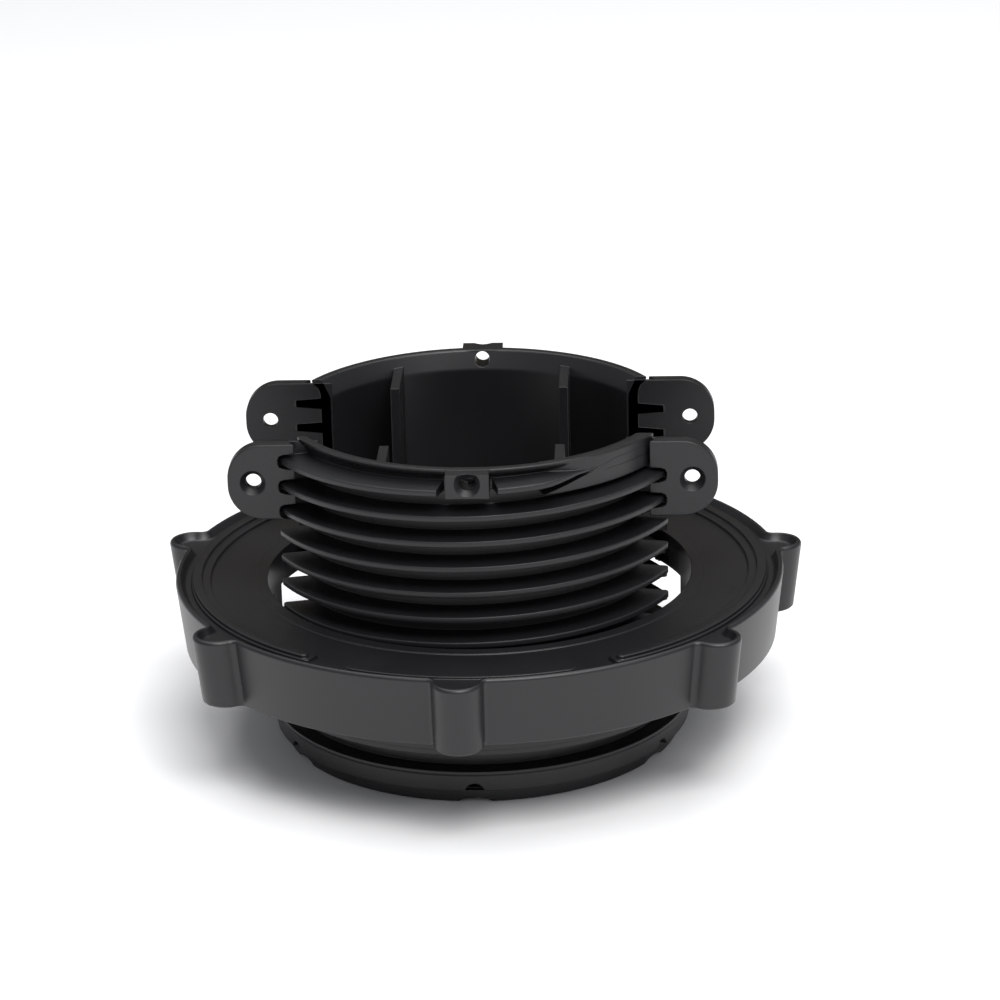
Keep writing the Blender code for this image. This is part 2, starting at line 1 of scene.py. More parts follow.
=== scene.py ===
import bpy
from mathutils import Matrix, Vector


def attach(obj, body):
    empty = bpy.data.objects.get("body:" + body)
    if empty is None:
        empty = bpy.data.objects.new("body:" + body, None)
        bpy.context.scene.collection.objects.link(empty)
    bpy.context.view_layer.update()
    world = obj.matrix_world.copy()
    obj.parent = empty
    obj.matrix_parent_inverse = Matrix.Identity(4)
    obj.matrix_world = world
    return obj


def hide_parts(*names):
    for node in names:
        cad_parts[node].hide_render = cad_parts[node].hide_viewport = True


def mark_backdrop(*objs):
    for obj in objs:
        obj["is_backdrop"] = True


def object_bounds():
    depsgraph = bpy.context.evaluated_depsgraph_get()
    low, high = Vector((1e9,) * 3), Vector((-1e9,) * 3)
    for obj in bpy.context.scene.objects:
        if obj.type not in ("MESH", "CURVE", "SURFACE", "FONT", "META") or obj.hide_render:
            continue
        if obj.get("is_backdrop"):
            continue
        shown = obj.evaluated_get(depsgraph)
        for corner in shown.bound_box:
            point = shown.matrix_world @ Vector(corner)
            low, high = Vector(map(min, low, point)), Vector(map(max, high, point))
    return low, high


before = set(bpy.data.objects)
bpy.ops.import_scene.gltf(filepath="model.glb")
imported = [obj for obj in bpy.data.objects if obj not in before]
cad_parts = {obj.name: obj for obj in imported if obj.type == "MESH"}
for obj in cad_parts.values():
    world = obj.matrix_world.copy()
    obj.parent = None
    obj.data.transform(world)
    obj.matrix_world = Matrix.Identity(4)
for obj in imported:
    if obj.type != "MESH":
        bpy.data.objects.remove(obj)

# %% [markdown]
# # Adjustable decking pedestal
#
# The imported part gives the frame: a foot, a levelling ring and a cradle. This notebook builds finer
# versions of the three mouldings on that frame, paints them as black polypropylene and lights them
# softly. The thread, the gussets and the floor ribs follow a path or repeat, so they come from
# Geometry Nodes; the walls and grips come from outlines that are turned or lofted.

# %% Frame and size
import math

import bmesh
import bpy
from mathutils import Matrix, Vector

MM = 0.001


def write_size():
    """Return the shown object's lowest and highest corner."""
    low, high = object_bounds()
    return low, high


low, high = write_size()
print("frame:", [round((b - a) / MM, 1) for a, b in zip(low, high)], "mm,", sorted(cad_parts))

# %% [markdown]
# ## Thread sizes
#
# Most sizes are those of the part, so that the finer pieces lie on it; a few are finer readings, such
# as the deeper root and the wider crest of the thread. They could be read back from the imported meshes,
# but plain names make the notebook readable. The thread comes first, because two mouldings share it.

# %% Thread sizes
THREAD_CREST_RADIUS = 55.0 * MM
THREAD_ROOT_RADIUS = 48.7 * MM
THREAD_PITCH = 6.7 * MM
THREAD_CREST_WIDTH = 1.2 * MM
THREAD_ROOT_WIDTH = 2.4 * MM
THREAD_PHASE_HEIGHT = 77.2 * MM
THREAD_END_ANGLE = -48.0
THREAD_SWELL = 0.2 * MM
FINE_ROOT = THREAD_ROOT_RADIUS - 0.8 * MM
OVERLAP = 0.4 * MM
TURNED_STEPS = 180
THREAD_STEPS = 120
print("thread", 2 * THREAD_CREST_RADIUS / MM, "x", THREAD_PITCH / MM, "mm")

# %% [markdown]
# ## Modelling helpers
#
# Turned walls are revolved outlines, ribs and pads are extruded outlines, and exact Booleans cut the
# slot, the holes and the pockets. Closed bodies that run into each other are joined without a union,
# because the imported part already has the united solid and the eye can't tell.

# %% Objects and cuts


def polar(radius, degrees, z=0.0):
    angle = math.radians(degrees)
    return Vector((radius * math.cos(angle), radius * math.sin(angle), z))


def object_from(name, bm):
    bmesh.ops.recalc_face_normals(bm, faces=bm.faces)
    mesh = bpy.data.meshes.new(name)
    bm.to_mesh(mesh)
    bm.free()
    item = bpy.data.objects.new(name, mesh)
    bpy.context.scene.collection.objects.link(item)
    return item


def combine(item, tool, operation):
    modifier = item.modifiers.new(operation.title(), "BOOLEAN")
    modifier.operation = operation
    modifier.solver = "EXACT"
    modifier.object = tool
    depsgraph = bpy.context.evaluated_depsgraph_get()
    item.data = bpy.data.meshes.new_from_object(item.evaluated_get(depsgraph))
    item.modifiers.clear()
    bpy.data.objects.remove(tool, do_unlink=True)


def cut(item, tool):
    combine(item, tool, "DIFFERENCE")


def joined(name, items):
    """Put the closed bodies of one moulding, which run into each other, into one mesh."""
    bm = bmesh.new()
    for item in items:
        bm.from_mesh(item.data)
        bpy.data.objects.remove(item, do_unlink=True)
    return object_from(name, bm)


print("objects and cuts ready")

# %% Turned and lofted bodies


def rounded(profile, radius, steps=3):
    """Round the corners of a closed outline of (radius, height) points."""
    points = []
    count = len(profile)
    for k, corner in enumerate(profile):
        here = Vector(corner)
        before = Vector(profile[k - 1]) - here
        after = Vector(profile[(k + 1) % count]) - here
        if corner[0] == 0.0 or radius == 0.0:
            points.append(here)
            continue
        reach = min(radius, before.length * 0.45, after.length * 0.45)
        first = here + before.normalized() * reach
        last = here + after.normalized() * reach
        for s in range(steps + 1):
            t = s / steps
            points.append(first * (1 - t) ** 2 + here * 2 * t * (1 - t) + last * t ** 2)
    return [(p.x, p.y) for p in points]


def turned(name, profile, steps=TURNED_STEPS):
    bm = bmesh.new()
    columns = []
    for radius, z in profile:
        if radius < 1e-9:
            columns.append([bm.verts.new((0.0, 0.0, z))] * steps)
        else:
            columns.append([bm.verts.new(polar(radius, 360.0 * k / steps, z)) for k in range(steps)])
    for here, after in zip(columns, columns[1:] + columns[:1]):
        for k in range(steps):
            corners = [here[k], here[(k + 1) % steps], after[(k + 1) % steps], after[k]]
            distinct = list(dict.fromkeys(corners))
            if len(distinct) > 2:
                bm.faces.new(distinct)
    return object_from(name, bm)


def skinned(bm, rings, closed=False):
    """Join outlines with four-sided faces, also the last to the first if closed; return their rows."""
    rows = [[bm.verts.new(p) for p in ring] for ring in rings]
    count = len(rows[0])
    following = rows[1:] + rows[:1] if closed else rows[1:]
    for here, after in zip(rows, following):
        for k in range(count):
            bm.faces.new((here[k], here[(k + 1) % count], after[(k + 1) % count], after[k]))
    return rows


def lofted(name, rings, paired=False):
    """A closed body through stacked outlines; paired outlines get caps of four-sided faces."""
    bm = bmesh.new()
    rows = skinned(bm, rings)
    count = len(rows[0])
    for row in (rows[0], rows[-1]):
        if paired:
            for k in range(count // 2 - 1):
                bm.faces.new((row[k], row[k + 1], row[count - 2 - k], row[count - 1 - k]))
        else:
            bm.faces.new(row)
    return object_from(name, bm)


def belt(name, rings):
    """A closed band through outlines, from the last one back to the first."""
    bm = bmesh.new()
    skinned(bm, rings, closed=True)
    return object_from(name, bm)


def prism(name, outline, low, high, edge=0.0, paired=False):
    """Extrude an outline of (x, y) points; the top edge may be rounded by shrinking the outline."""
    levels = [(0.0, low), (0.0, high)]
    if edge:
        levels = [(0.0, low), (0.0, high - edge), (edge * 0.3, high - edge * 0.3), (edge, high)]
    return lofted(name, [[(x, y, z) for x, y in shrunk(outline, inset)] for inset, z in levels], paired)


def shrunk(outline, inset):
    """Move each point of an anticlockwise outline inwards by an inset."""
    if not inset:
        return outline
    moved = []
    count = len(outline)
    for k in range(count):
        here = Vector(outline[k])
        before = (here - Vector(outline[k - 1])).normalized()
        after = (Vector(outline[(k + 1) % count]) - here).normalized()
        side = Vector((-(before + after).y, (before + after).x)).normalized()
        lean = max(0.5, side.dot(Vector((-before.y, before.x))))
        moved.append(tuple(here + side * inset / lean))
    return moved


def box(name, low, high):
    outline = [(low[0], low[1]), (high[0], low[1]), (high[0], high[1]), (low[0], high[1])]
    return prism(name, outline, low[2], high[2])


print("turned walls have", TURNED_STEPS, "steps")

# %% Bent blocks and rods


def bent_corner(degrees, radius, inwards, towards, corner):
    if not corner:
        return [(degrees, radius)]
    reach = math.degrees(corner / radius)
    bend = []
    for k in range(6):
        turn = math.pi / 10 * k
        angle = degrees + inwards * reach * (1 - math.cos(turn))
        bend.append((angle, radius + towards * corner * (1 - math.sin(turn))))
    return bend


def arc_block(name, inner, outer, start, end, low, high, steps, corner=0.0, edge=0.0):
    """A block bent round the axis between two angles."""
    points = bent_corner(start, outer, 1, -1, corner)
    first, last = points[-1][0], end - (points[-1][0] - start)
    points += [(first + (last - first) * k / steps, outer) for k in range(1, steps)]
    points += bent_corner(end, outer, -1, -1, corner)[::-1]
    points += bent_corner(end, inner, -1, 1, corner)
    first, last = points[-1][0], start + (end - points[-1][0])
    points += [(first + (last - first) * k / steps, inner) for k in range(1, steps)]
    points += bent_corner(start, inner, 1, 1, corner)[::-1]
    flat = [polar(radius, degrees) for degrees, radius in points]
    return prism(name, [(p.x, p.y) for p in flat], low, high, edge, paired=True)


def rod(name, radius_start, radius_end, start, direction, length, steps=48):
    bm = bmesh.new()
    bmesh.ops.create_cone(
        bm, cap_ends=True, segments=steps, radius1=radius_start, radius2=radius_end, depth=length)
    aim = Vector(direction).normalized()
    turn = Vector((0.0, 0.0, 1.0)).rotation_difference(aim).to_matrix().to_4x4()
    bmesh.ops.transform(bm, matrix=turn, verts=bm.verts)
    bmesh.ops.translate(bm, vec=Vector(start) + aim * (length / 2), verts=bm.verts)
    return object_from(name, bm)


print("bent blocks and rods ready")

# %% Height along the thread


def helix_height(degrees):
    return THREAD_PHASE_HEIGHT + THREAD_PITCH * (degrees + 90.0) / 360.0


def angle_at_height(z):
    return (z - THREAD_PHASE_HEIGHT) / THREAD_PITCH * 360.0 - 90.0


print("the fin stands at", round(helix_height(0.0) / MM, 2), "mm on the right")

# %% [markdown]
# ## Black polypropylene
#
# The plastic is near black with a fine moulded grain. Its grain is a small bump and its sheen varies
# slowly, both from object coordinates. A bevel in the shader softens the moulded edges; real bevels on
# every edge would cost many faces for the same highlight.

# %% Material


def link(tree, out_node, out_name, in_node, in_name):
    tree.links.new(out_node.outputs[out_name], in_node.inputs[in_name])


def plastic(name, colour, roughness, grain):
    finish = bpy.data.materials.new(name)
    finish.use_nodes = True
    tree = finish.node_tree
    shader = tree.nodes["Principled BSDF"]
    place = tree.nodes.new("ShaderNodeTexCoord")
    cloud = tree.nodes.new("ShaderNodeTexNoise")
    cloud.inputs["Scale"].default_value = 45.0
    cloud.inputs["Detail"].default_value = 4.0
    link(tree, place, "Object", cloud, "Vector")
    tone = tree.nodes.new("ShaderNodeValToRGB")
    tone.color_ramp.elements[0].position = 0.3
    tone.color_ramp.elements[1].position = 0.75
    tone.color_ramp.elements[0].color = (*[c * 0.86 for c in colour], 1.0)
    tone.color_ramp.elements[1].color = (*[c * 1.14 for c in colour], 1.0)
    link(tree, cloud, "Fac", tone, "Fac")
    link(tree, tone, "Color", shader, "Base Color")
    sheen = tree.nodes.new("ShaderNodeMapRange")
    sheen.inputs["To Min"].default_value = roughness - 0.04
    sheen.inputs["To Max"].default_value = roughness + 0.04
    link(tree, cloud, "Fac", sheen, "Value")
    link(tree, sheen, "Result", shader, "Roughness")
    texture = tree.nodes.new("ShaderNodeTexNoise")
    texture.inputs["Scale"].default_value = 2600.0
    texture.inputs["Detail"].default_value = 2.0
    link(tree, place, "Object", texture, "Vector")
    edge = tree.nodes.new("ShaderNodeBevel")
    edge.samples = 6
    edge.inputs["Radius"].default_value = 0.35 * MM
    bump = tree.nodes.new("ShaderNodeBump")
    bump.inputs["Strength"].default_value = grain
    bump.inputs["Distance"].default_value = 0.05 * MM
    link(tree, texture, "Fac", bump, "Height")
    link(tree, edge, "Normal", bump, "Normal")
    link(tree, bump, "Normal", shader, "Normal")
    shader.inputs["IOR"].default_value = 1.49
    return finish


BLACK = plastic("black_polypropylene_visual", (0.0085, 0.0086, 0.0097), 0.38, 0.35)
print("material", BLACK.name)

# %% [markdown]
# ## Screw thread as a node tree
#
# Both mouldings carry the same thread form. One node tree bends a line into a helix by rule and sweeps
# a four-cornered fin with rounded corners along it; named inputs give its radius, pitch and ends. A
# screw modifier could do it as well, but could not fade the fin out at its end.

# %% Parts of a node tree


def socket(group, name, kind, default):
    item = group.interface.new_socket(name, in_out="INPUT", socket_type=kind)
    item.default_value = default
    return item.identifier


def math_node(group, operation, first, second=None):
    node = group.nodes.new("ShaderNodeMath")
    node.operation = operation
    for value, slot in ((first, 0), (second, 1)):
        if value is None:
            continue
        if isinstance(value, (int, float)):
            node.inputs[slot].default_value = value
        else:
            group.links.new(value, node.inputs[slot])
    return node.outputs[0]


def point(group, *parts):
    """Two or three numbers or sockets as one vector."""
    node = group.nodes.new("ShaderNodeCombineXYZ")
    for part, place in zip(parts, node.inputs):
        if isinstance(part, (int, float)):
            place.default_value = part
        else:
            group.links.new(part, place)
    return node.outputs[0]


def on_circle(group, radius, angle, height):
    across = math_node(group, "MULTIPLY", radius, math_node(group, "COSINE", angle))
    along = math_node(group, "MULTIPLY", radius, math_node(group, "SINE", angle))
    return point(group, across, along, height)


def new_tree(name, inputs):
    """A tree with named number inputs and a material input, and a way to read each of them."""
    group = bpy.data.node_groups.new(name, "GeometryNodeTree")
    names = {title: socket(group, title, kind, default) for title, kind, default in inputs}
    finish = group.interface.new_socket("Finish", in_out="INPUT", socket_type="NodeSocketMaterial")
    names["Finish"] = finish.identifier
    group.interface.new_socket("Geometry", in_out="OUTPUT", socket_type="NodeSocketGeometry")
    given = group.nodes.new("NodeGroupInput")

    def value(title):
        return next(s for s in given.outputs if s.identifier == names[title])

    return group, names, value


def end_tree(group, geometry, finish):
    """Turn copies into real geometry, set the material and hand the result out."""
    real = group.nodes.new("GeometryNodeRealizeInstances")
    group.links.new(geometry, real.inputs["Geometry"])
    paint = group.nodes.new("GeometryNodeSetMaterial")
    group.links.new(real.outputs["Geometry"], paint.inputs["Geometry"])
    group.links.new(finish, paint.inputs["Material"])
    out = group.nodes.new("NodeGroupOutput")
    group.links.new(paint.outputs["Geometry"], out.inputs["Geometry"])


print("tree parts ready")

# %% Thread tree


def thread_tree():
    group, names, value = new_tree("helical_thread", (
        ("Foot Radius", "NodeSocketFloat", THREAD_ROOT_RADIUS), ("Depth", "NodeSocketFloat", 6.0 * MM),
        ("Foot Half Width", "NodeSocketFloat", THREAD_ROOT_WIDTH / 2),
        ("Tip Half Width", "NodeSocketFloat", THREAD_CREST_WIDTH / 2),
        ("Start Angle", "NodeSocketFloat", 0.0), ("Sweep", "NodeSocketFloat", 360.0),
        ("Start Height", "NodeSocketFloat", 0.0), ("Pitch", "NodeSocketFloat", THREAD_PITCH),
        ("Steps", "NodeSocketInt", 120), ("Run Out", "NodeSocketFloat", 0.0),
        ("End Size", "NodeSocketFloat", 0.03),
        ("Rounding", "NodeSocketFloat", 0.2 * MM),
    ))
    line = group.nodes.new("GeometryNodeCurvePrimitiveLine")
    split = group.nodes.new("GeometryNodeResampleCurve")
    split.mode = "COUNT"
    group.links.new(line.outputs["Curve"], split.inputs["Curve"])
    group.links.new(value("Steps"), split.inputs["Count"])
    along = group.nodes.new("GeometryNodeSplineParameter").outputs["Factor"]
    degrees = math_node(group, "MULTIPLY", value("Sweep"), along)
    angle = math_node(group, "RADIANS", math_node(group, "ADD", value("Start Angle"), degrees))
    rise = math_node(group, "MULTIPLY", value("Pitch"), math_node(group, "DIVIDE", degrees, 360.0))
    height = math_node(group, "ADD", value("Start Height"), rise)
    bent = group.nodes.new("GeometryNodeSetPosition")
    group.links.new(split.outputs["Curve"], bent.inputs["Geometry"])
    group.links.new(on_circle(group, value("Foot Radius"), angle, height), bent.inputs["Position"])
    upright = group.nodes.new("GeometryNodeSetCurveNormal")
    upright.mode = "Z_UP"
    group.links.new(bent.outputs["Geometry"], upright.inputs["Curve"])

    fin = group.nodes.new("GeometryNodeCurvePrimitiveQuadrilateral")
    fin.mode = "POINTS"
    depth = value("Depth")
    foot = value("Foot Half Width")
    tip = value("Tip Half Width")
    group.links.new(point(group, 0.0, math_node(group, "MULTIPLY", foot, -1.0)), fin.inputs["Point 1"])
    group.links.new(point(group, depth, math_node(group, "MULTIPLY", tip, -1.0)), fin.inputs["Point 2"])
    group.links.new(point(group, depth, tip), fin.inputs["Point 3"])
    group.links.new(point(group, 0.0, foot), fin.inputs["Point 4"])
    soft = group.nodes.new("GeometryNodeFilletCurve")
    soft.mode = "POLY"
    soft.inputs["Count"].default_value = 2
    group.links.new(fin.outputs["Curve"], soft.inputs["Curve"])
    group.links.new(value("Rounding"), soft.inputs["Radius"])

    left = math_node(group, "SUBTRACT", value("Sweep"), degrees)
    share = math_node(group, "DIVIDE", left, math_node(group, "MAXIMUM", value("Run Out"), 0.001))
    size = math_node(group, "MAXIMUM", math_node(group, "MINIMUM", share, 1.0), value("End Size"))
    sweep = group.nodes.new("GeometryNodeCurveToMesh")
    sweep.inputs["Fill Caps"].default_value = True
    group.links.new(upright.outputs["Curve"], sweep.inputs["Curve"])
    group.links.new(soft.outputs["Curve"], sweep.inputs["Profile Curve"])
    group.links.new(size, sweep.inputs["Scale"])
    end_tree(group, sweep.outputs["Mesh"], value("Finish"))
    return group, names


THREAD, THREAD_NAMES = thread_tree()
print("thread inputs:", sorted(THREAD_NAMES))

# %% Bake a thread


def baked(name, group, names, values):
    """Run a node tree on an empty mesh and keep the result as a plain mesh."""
    item = bpy.data.objects.new(name, bpy.data.meshes.new(name))
    bpy.context.scene.collection.objects.link(item)
    modifier = item.modifiers.new("Nodes", "NODES")
    modifier.node_group = group
    for key, value in values.items():
        modifier[names[key]] = value
    item.update_tag()
    depsgraph = bpy.context.evaluated_depsgraph_get()
    item.data = bpy.data.meshes.new_from_object(item.evaluated_get(depsgraph))
    item.modifiers.clear()
    bm = bmesh.new()
    bm.from_mesh(item.data)
    bmesh.ops.remove_doubles(bm, verts=bm.verts, dist=1e-7)
    bmesh.ops.recalc_face_normals(bm, faces=bm.faces)
    bm.to_mesh(item.data)
    bm.free()
    return item


def thread(name, start, end, foot, tip, lift=0.0, run_out=0.0, rounding=0.25 * MM, extra=0.0):
    """A fin from one angle to another; foot and tip are a radius and a half width.

    The extra height is what its end gains on the screw's own rise.
    """
    pitch = THREAD_PITCH + extra * 360.0 / (end - start)
    return baked(name, THREAD, THREAD_NAMES, {
        "Foot Radius": foot[0], "Depth": tip[0] - foot[0], "Foot Half Width": foot[1],
        "Tip Half Width": tip[1], "Start Angle": start, "Sweep": end - start,
        "Start Height": helix_height(start) + lift, "Pitch": pitch,
        "End Size": 0.5 if run_out else 0.03,
        "Steps": max(8, round((end - start) / 360.0 * THREAD_STEPS)), "Run Out": run_out,
        "Rounding": rounding, "Finish": BLACK})


print("thread steps a turn:", THREAD_STEPS)

# %% [markdown]
# ## Cradle
#
# Two threaded cheeks stand on a seat. The thread runs round a full wall first and one box cuts the
# slot through everything later, as the real moulding is open there. The top fin stops with sloping
# ends beside the middle screw pad and runs out into the rim on the right.

# %% Cradle sizes
SLOT_WIDTH = 46.0 * MM
CHEEK_FACE = SLOT_WIDTH / 2
SEAT_HEIGHT = 46.0 * MM
SEAT_THICKNESS = 3.6 * MM
SEAT_HALF_LENGTH = 43.0 * MM
CRADLE_TOP = 89.0 * MM
RIM_TOP = CRADLE_TOP - 0.6 * MM
CRADLE_BOTTOM = 24.5 * MM
CRADLE_WALL = 3.0 * MM
RIM_LIP_REACH = 1.3 * MM
POST_OFFSET = 22.3 * MM
POST_THICKNESS = 2.4 * MM
POST_DROP = 3.4 * MM
CROSS_WALL_THICKNESS = 2.8 * MM
EAR_REACH = 62.2 * MM
EAR_TOP = 87.3 * MM
EAR_HEIGHT = 20.0 * MM
EAR_THICKNESS = 3.8 * MM
EAR_CORNER_RADIUS = 9.0 * MM
EAR_POCKET_GAP = 1.0 * MM
EAR_START = 39.0 * MM
SCREW_OFFSET = 55.7 * MM
SCREW_HEIGHT = 77.2 * MM
SCREW_HOLE_RADIUS = 2.0 * MM
COUNTERSINK_RADIUS = 3.3 * MM
COUNTERSINK_DEPTH = 1.6 * MM
BOSS_HALF_WIDTH = 5.4 * MM
BOSS_BOTTOM = 82.2 * MM
BOSS_REACH = 54.0 * MM
BOSS_SCREW_HEIGHT = 86.0 * MM
EAR_FLOOR = 0.8 * MM
LAND_RADIUS = 51.3 * MM
LAND_LOW = 80.8 * MM
LAND_START = -68.5
LAND_FULL = -45.0
LAND_END = -24.0
LAND_BELOW_TOP = 2.6 * MM
LAND_RIM_DEPTH = 4.7 * MM
RUN_OUT_RISE = 0.5 * MM
RUN_OUT_ANGLE = 24.0
FIN_ROUNDING = 0.45 * MM
POCKET_ROUNDING = 1.3 * MM
FIN_CORNER_RADIUS = 0.9 * MM
print("slot", SLOT_WIDTH / MM, "mm, seat at", SEAT_HEIGHT / MM, "mm")

# %% Cradle wall and thread
below = THREAD_CREST_RADIUS * 2
inner = THREAD_ROOT_RADIUS - CRADLE_WALL
lip = THREAD_ROOT_RADIUS + RIM_LIP_REACH
wall = turned("wall", rounded([
    (inner, CRADLE_BOTTOM),
    (FINE_ROOT, CRADLE_BOTTOM),
    (FINE_ROOT, RIM_TOP - 4.8 * MM),
    (FINE_ROOT + 0.2 * MM, RIM_TOP - 3.4 * MM),
    (FINE_ROOT + 0.65 * MM, RIM_TOP - 2.2 * MM),
    (lip - 0.25 * MM, RIM_TOP - 1.1 * MM),
    (lip, RIM_TOP),
    (lip - 2.4 * MM, RIM_TOP),
    (inner, RIM_TOP - 5.0 * MM),
], 0.5 * MM))
fin_start = angle_at_height(CRADLE_BOTTOM - THREAD_ROOT_WIDTH)
fin_foot = (FINE_ROOT - MM, THREAD_ROOT_WIDTH / 2 + 1.8 * THREAD_SWELL)
fin_tip = (THREAD_CREST_RADIUS, THREAD_CREST_WIDTH / 2 + THREAD_SWELL)
fin = thread("fin", fin_start, 270.0, fin_foot, fin_tip, rounding=FIN_ROUNDING)
cut(fin, box("trim", (-below, -below, 0.0), (below, below, CRADLE_BOTTOM)))
last_fin = thread("run_out", 270.0, 360.0 + LAND_FULL, fin_foot, fin_tip, run_out=RUN_OUT_ANGLE,
                  rounding=FIN_ROUNDING, extra=RUN_OUT_RISE)
print("thread faces", len(fin.data.polygons) + len(last_fin.data.polygons))


def land(start, end, outline):
    """A thickening of the wall between two angles; the outline gives its low, high and radius."""
    columns = []
    for k in range(46):
        t = k / 45
        degrees = start + (end - start) * t
        low, high, radius = outline(degrees)
        root = FINE_ROOT - OVERLAP
        columns.append([polar(root, degrees, low), polar(radius, degrees, low),
                        polar(radius, degrees, high), polar(root, degrees, high)])
    return lofted("land", columns)


def below_run_out(degrees):
    share = min(1.0, (degrees - LAND_START) / (LAND_FULL - LAND_START))
    return LAND_LOW, LAND_LOW + 0.1 * MM + share * (CRADLE_TOP - LAND_BELOW_TOP - LAND_LOW), LAND_RADIUS


def beside_rim(degrees):
    share = min(1.0, (degrees - LAND_START) / (LAND_FULL - LAND_START))
    radius = FINE_ROOT + math.sin(share * math.pi / 2) * (LAND_RADIUS + 0.02 * MM - FINE_ROOT)
    return CRADLE_TOP - LAND_RIM_DEPTH, RIM_TOP - 0.05 * MM, radius


lands = [land(LAND_START, LAND_END, below_run_out), land(LAND_START, LAND_END, beside_rim)]

# %% [markdown]
# ## Screw pads and ears
#
# Four ears and two middle pads take the fixing screws. An ear is an outline lofted through its
# thickness, and a fatter copy of the thread cuts its pockets, so that the fins end inside them with a
# little room. A thin second plate behind closes the pockets.

# %% Screw pads and ears


def screw_hole(item, centre, front):
    x, y, z = centre
    inwards = (0.0, -front, 0.0)
    start = (x, y + front * 2 * MM, z)
    cut(item, rod("drill", SCREW_HOLE_RADIUS, SCREW_HOLE_RADIUS, start, inwards, BOSS_REACH - CHEEK_FACE))
    flare = (COUNTERSINK_RADIUS - SCREW_HOLE_RADIUS) / COUNTERSINK_DEPTH
    mouth = COUNTERSINK_RADIUS + flare * OVERLAP
    tip = SCREW_HOLE_RADIUS - flare * OVERLAP
    begin = (x, y + front * OVERLAP, z)
    cut(item, rod("sink", mouth, tip, begin, inwards, COUNTERSINK_DEPTH + 2 * OVERLAP, 50))


def ear(side, front, low, high, edge):
    end = EAR_REACH - EAR_CORNER_RADIUS
    bottom = EAR_TOP - EAR_HEIGHT
    outline = [(EAR_START, bottom)]
    for centre, first in ((bottom + EAR_CORNER_RADIUS, -90.0), (EAR_TOP - EAR_CORNER_RADIUS, 0.0)):
        for k in range(19):
            turn = math.radians(first + 5.0 * k)
            outline.append((end + EAR_CORNER_RADIUS * math.cos(turn),
                            centre + EAR_CORNER_RADIUS * math.sin(turn)))
    outline.append((EAR_START, EAR_TOP))
    rings = []
    for inset, depth in ((0.0, low), (0.0, high - edge), (edge * 0.3, high - edge * 0.3), (edge, high)):
        rings.append([(side * x, front * (CHEEK_FACE + depth), z) for x, z in shrunk(outline, inset)])
    return lofted("ear", rings)


def fin_corner(side, front):
    """What lies outside the rounded corner of a fin, where it meets the face of the slot."""
    across = CHEEK_FACE + FIN_CORNER_RADIUS
    along = math.sqrt((THREAD_CREST_RADIUS - FIN_CORNER_RADIUS) ** 2 - across ** 2)
    last = math.atan2(across, along) - math.radians(8.0)
    outline = [(along + FIN_CORNER_RADIUS * math.sin(math.radians(10.0)), CHEEK_FACE - MM)]
    for k in range(15):
        turn = math.radians(-80.0) + (last + math.radians(80.0)) * k / 14
        outline.append((along + FIN_CORNER_RADIUS * math.cos(turn),
                        across + FIN_CORNER_RADIUS * math.sin(turn)))
    outline.append((outline[-1][0] + 2 * MM, outline[-1][1] + MM))
    outline.append((along + 9 * MM, CHEEK_FACE - MM))
    if side * front > 0:
        outline.reverse()
    return prism("fin_corner", [(side * x, front * y) for x, y in outline], CRADLE_BOTTOM - MM,
                 CRADLE_TOP + MM)


open_to_slot = [wall, fin, last_fin] + lands
for front in (-1, 1):
    reach = front * (THREAD_CREST_RADIUS + MM)
    root = front * (FINE_ROOT - OVERLAP / 2)
    wide = BOSS_HALF_WIDTH + 2.6 * MM
    narrow = BOSS_HALF_WIDTH + 0.6 * MM
    notch = [(-narrow, root), (narrow, root), (wide, reach), (-wide, reach)]
    for item in (fin, last_fin):
        cut(item, prism("notch", notch if front > 0 else notch[::-1], BOSS_BOTTOM - 1.5 * MM,
                        CRADLE_TOP + MM))
    depth = sorted((front * BOSS_REACH, front * (FINE_ROOT - OVERLAP)))
    boss = box("boss", (-BOSS_HALF_WIDTH, depth[0], BOSS_BOTTOM),
               (BOSS_HALF_WIDTH, depth[1], RIM_TOP - 0.1 * MM))
    for item in (wall, boss):
        screw_hole(item, (0.0, front * BOSS_REACH, BOSS_SCREW_HEIGHT), front)
    open_to_slot.append(boss)
    pocket_foot = (fin_foot[0], fin_foot[1] + EAR_POCKET_GAP)
    pocket_tip = (fin_tip[0] + EAR_POCKET_GAP, fin_tip[1] + EAR_POCKET_GAP)
    for side in (-1, 1):
        for item in (fin, last_fin):
            cut(item, fin_corner(side, front))
        plate = ear(side, front, EAR_FLOOR / 2, EAR_THICKNESS, 0.5 * MM)
        back = ear(side, front, -OVERLAP, EAR_FLOOR, 0.05 * MM)
        for item in (plate, back):
            screw_hole(item, (side * SCREW_OFFSET, front * (CHEEK_FACE + EAR_THICKNESS), SCREW_HEIGHT), front)
        first = angle_at_height(EAR_TOP - EAR_HEIGHT) - 270.0
        cut(plate, thread("pocket", first, 360.0 + THREAD_END_ANGLE, pocket_foot, pocket_tip,
                          rounding=POCKET_ROUNDING))
        gap = LAND_RADIUS + EAR_POCKET_GAP
        cut(plate, rod("running_gap", gap, gap, (0.0, 0.0, SEAT_HEIGHT), (0.0, 0.0, 1.0), CRADLE_TOP, 360))
        open_to_slot += [plate, back]
print("pieces of the cheeks:", len(open_to_slot))

# %% [markdown]
# ## Posts, slot and seat
#
# Two posts inside each cheek line up what is carried. One box cuts the slot through the wall, fins, pads
# and ears, and then the seat and its cross walls tie the cheeks together. The bodies run into each other
# here and are not united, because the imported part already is.

